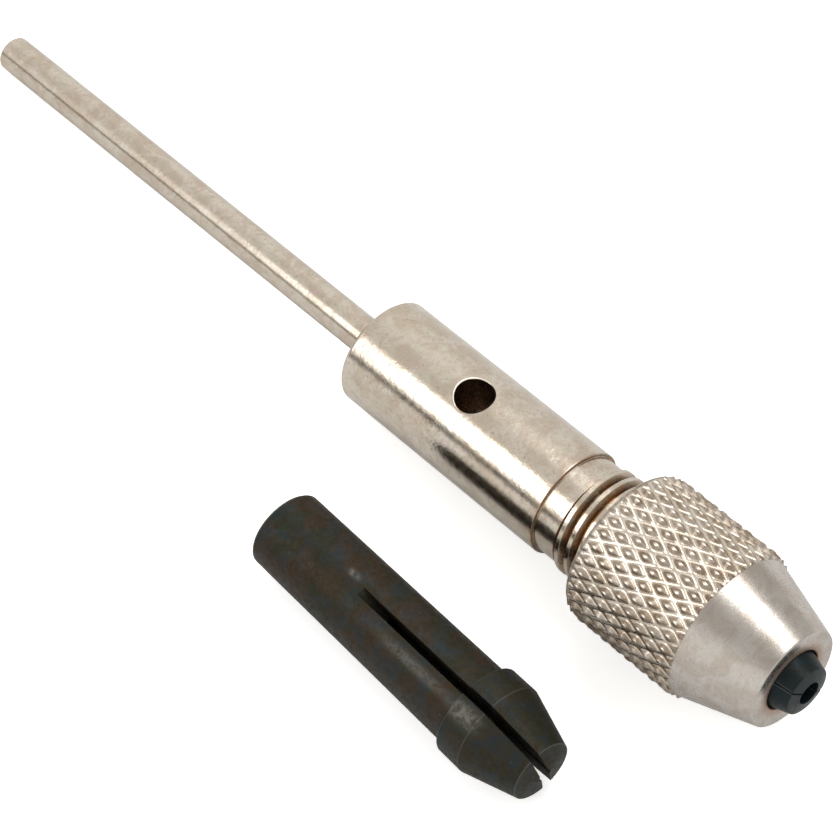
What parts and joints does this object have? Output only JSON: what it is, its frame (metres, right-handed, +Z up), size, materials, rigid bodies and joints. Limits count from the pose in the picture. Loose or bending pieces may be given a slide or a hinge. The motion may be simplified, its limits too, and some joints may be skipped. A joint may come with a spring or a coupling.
{
  "type": "pin vise drill holder",
  "caption": "Shanked pin vise: a straight shank, a turned body, a knurled nut that closes a split collet on a small drill, and a spare collet beside it.",
  "frame": {"origin": "centre of the body's rear face, on the tool's axis, where the exposed shank starts", "axes": "+X along the tool's axis towards the nose, +Z up, along the cross hole, +Y completes a right-handed set"},
  "size_m": [0.0957, 0.0283, 0.0138],
  "materials": {
    "plated_steel": "satin nickel plate",
    "ground_steel": "bright ground and plated",
    "black_oxide_steel": "dark oxide over hardened steel"
  },
  "bodies": {
    "holder": {"body": "plated_steel", "shank": "ground_steel"},
    "collet": {"collet_tail": "black_oxide_steel"},
    "nut": {"nut": "plated_steel"},
    "jaw_a": {"collet_jaw_a": "black_oxide_steel"},
    "jaw_b": {"collet_jaw_b": "black_oxide_steel"},
    "spare": {"spare_collet": "black_oxide_steel"}
  },
  "joints": [
    {"name": "nut_turn", "type": "hinge", "parent": "holder", "child": "collet", "pos_m": [0.03, 0, 0], "axis": [1, 0, 0], "range_deg": [0, 540]},
    {"name": "nut_advance", "type": "slide", "parent": "collet", "child": "nut", "axis": [1, 0, 0], "range_m": [0, 0.0016]},
    {"name": "jaw_a_flex", "type": "hinge", "parent": "collet", "child": "jaw_a", "pos_m": [0.02682, 0, 0], "axis": [0, -0.7071, 0.7071], "range_deg": [0, 0.87]},
    {"name": "jaw_b_flex", "type": "hinge", "parent": "collet", "child": "jaw_b", "pos_m": [0.02682, 0, 0], "axis": [0, 0.7071, -0.7071], "range_deg": [0, 0.87]},
    {"name": "spare_lift", "type": "slide", "parent": "holder", "child": "spare", "axis": [0, 0, 1], "range_m": [0, 0.03]}
  ],
  "couplings": [
    {"joint": "nut_advance", "follows": "nut_turn", "m_per_rad": 0.00016843},
    {"joint": "jaw_a_flex", "follows": "nut_turn", "ratio": 0.0015741},
    {"joint": "jaw_b_flex", "follows": "nut_turn", "ratio": 0.0015741}
  ]
}
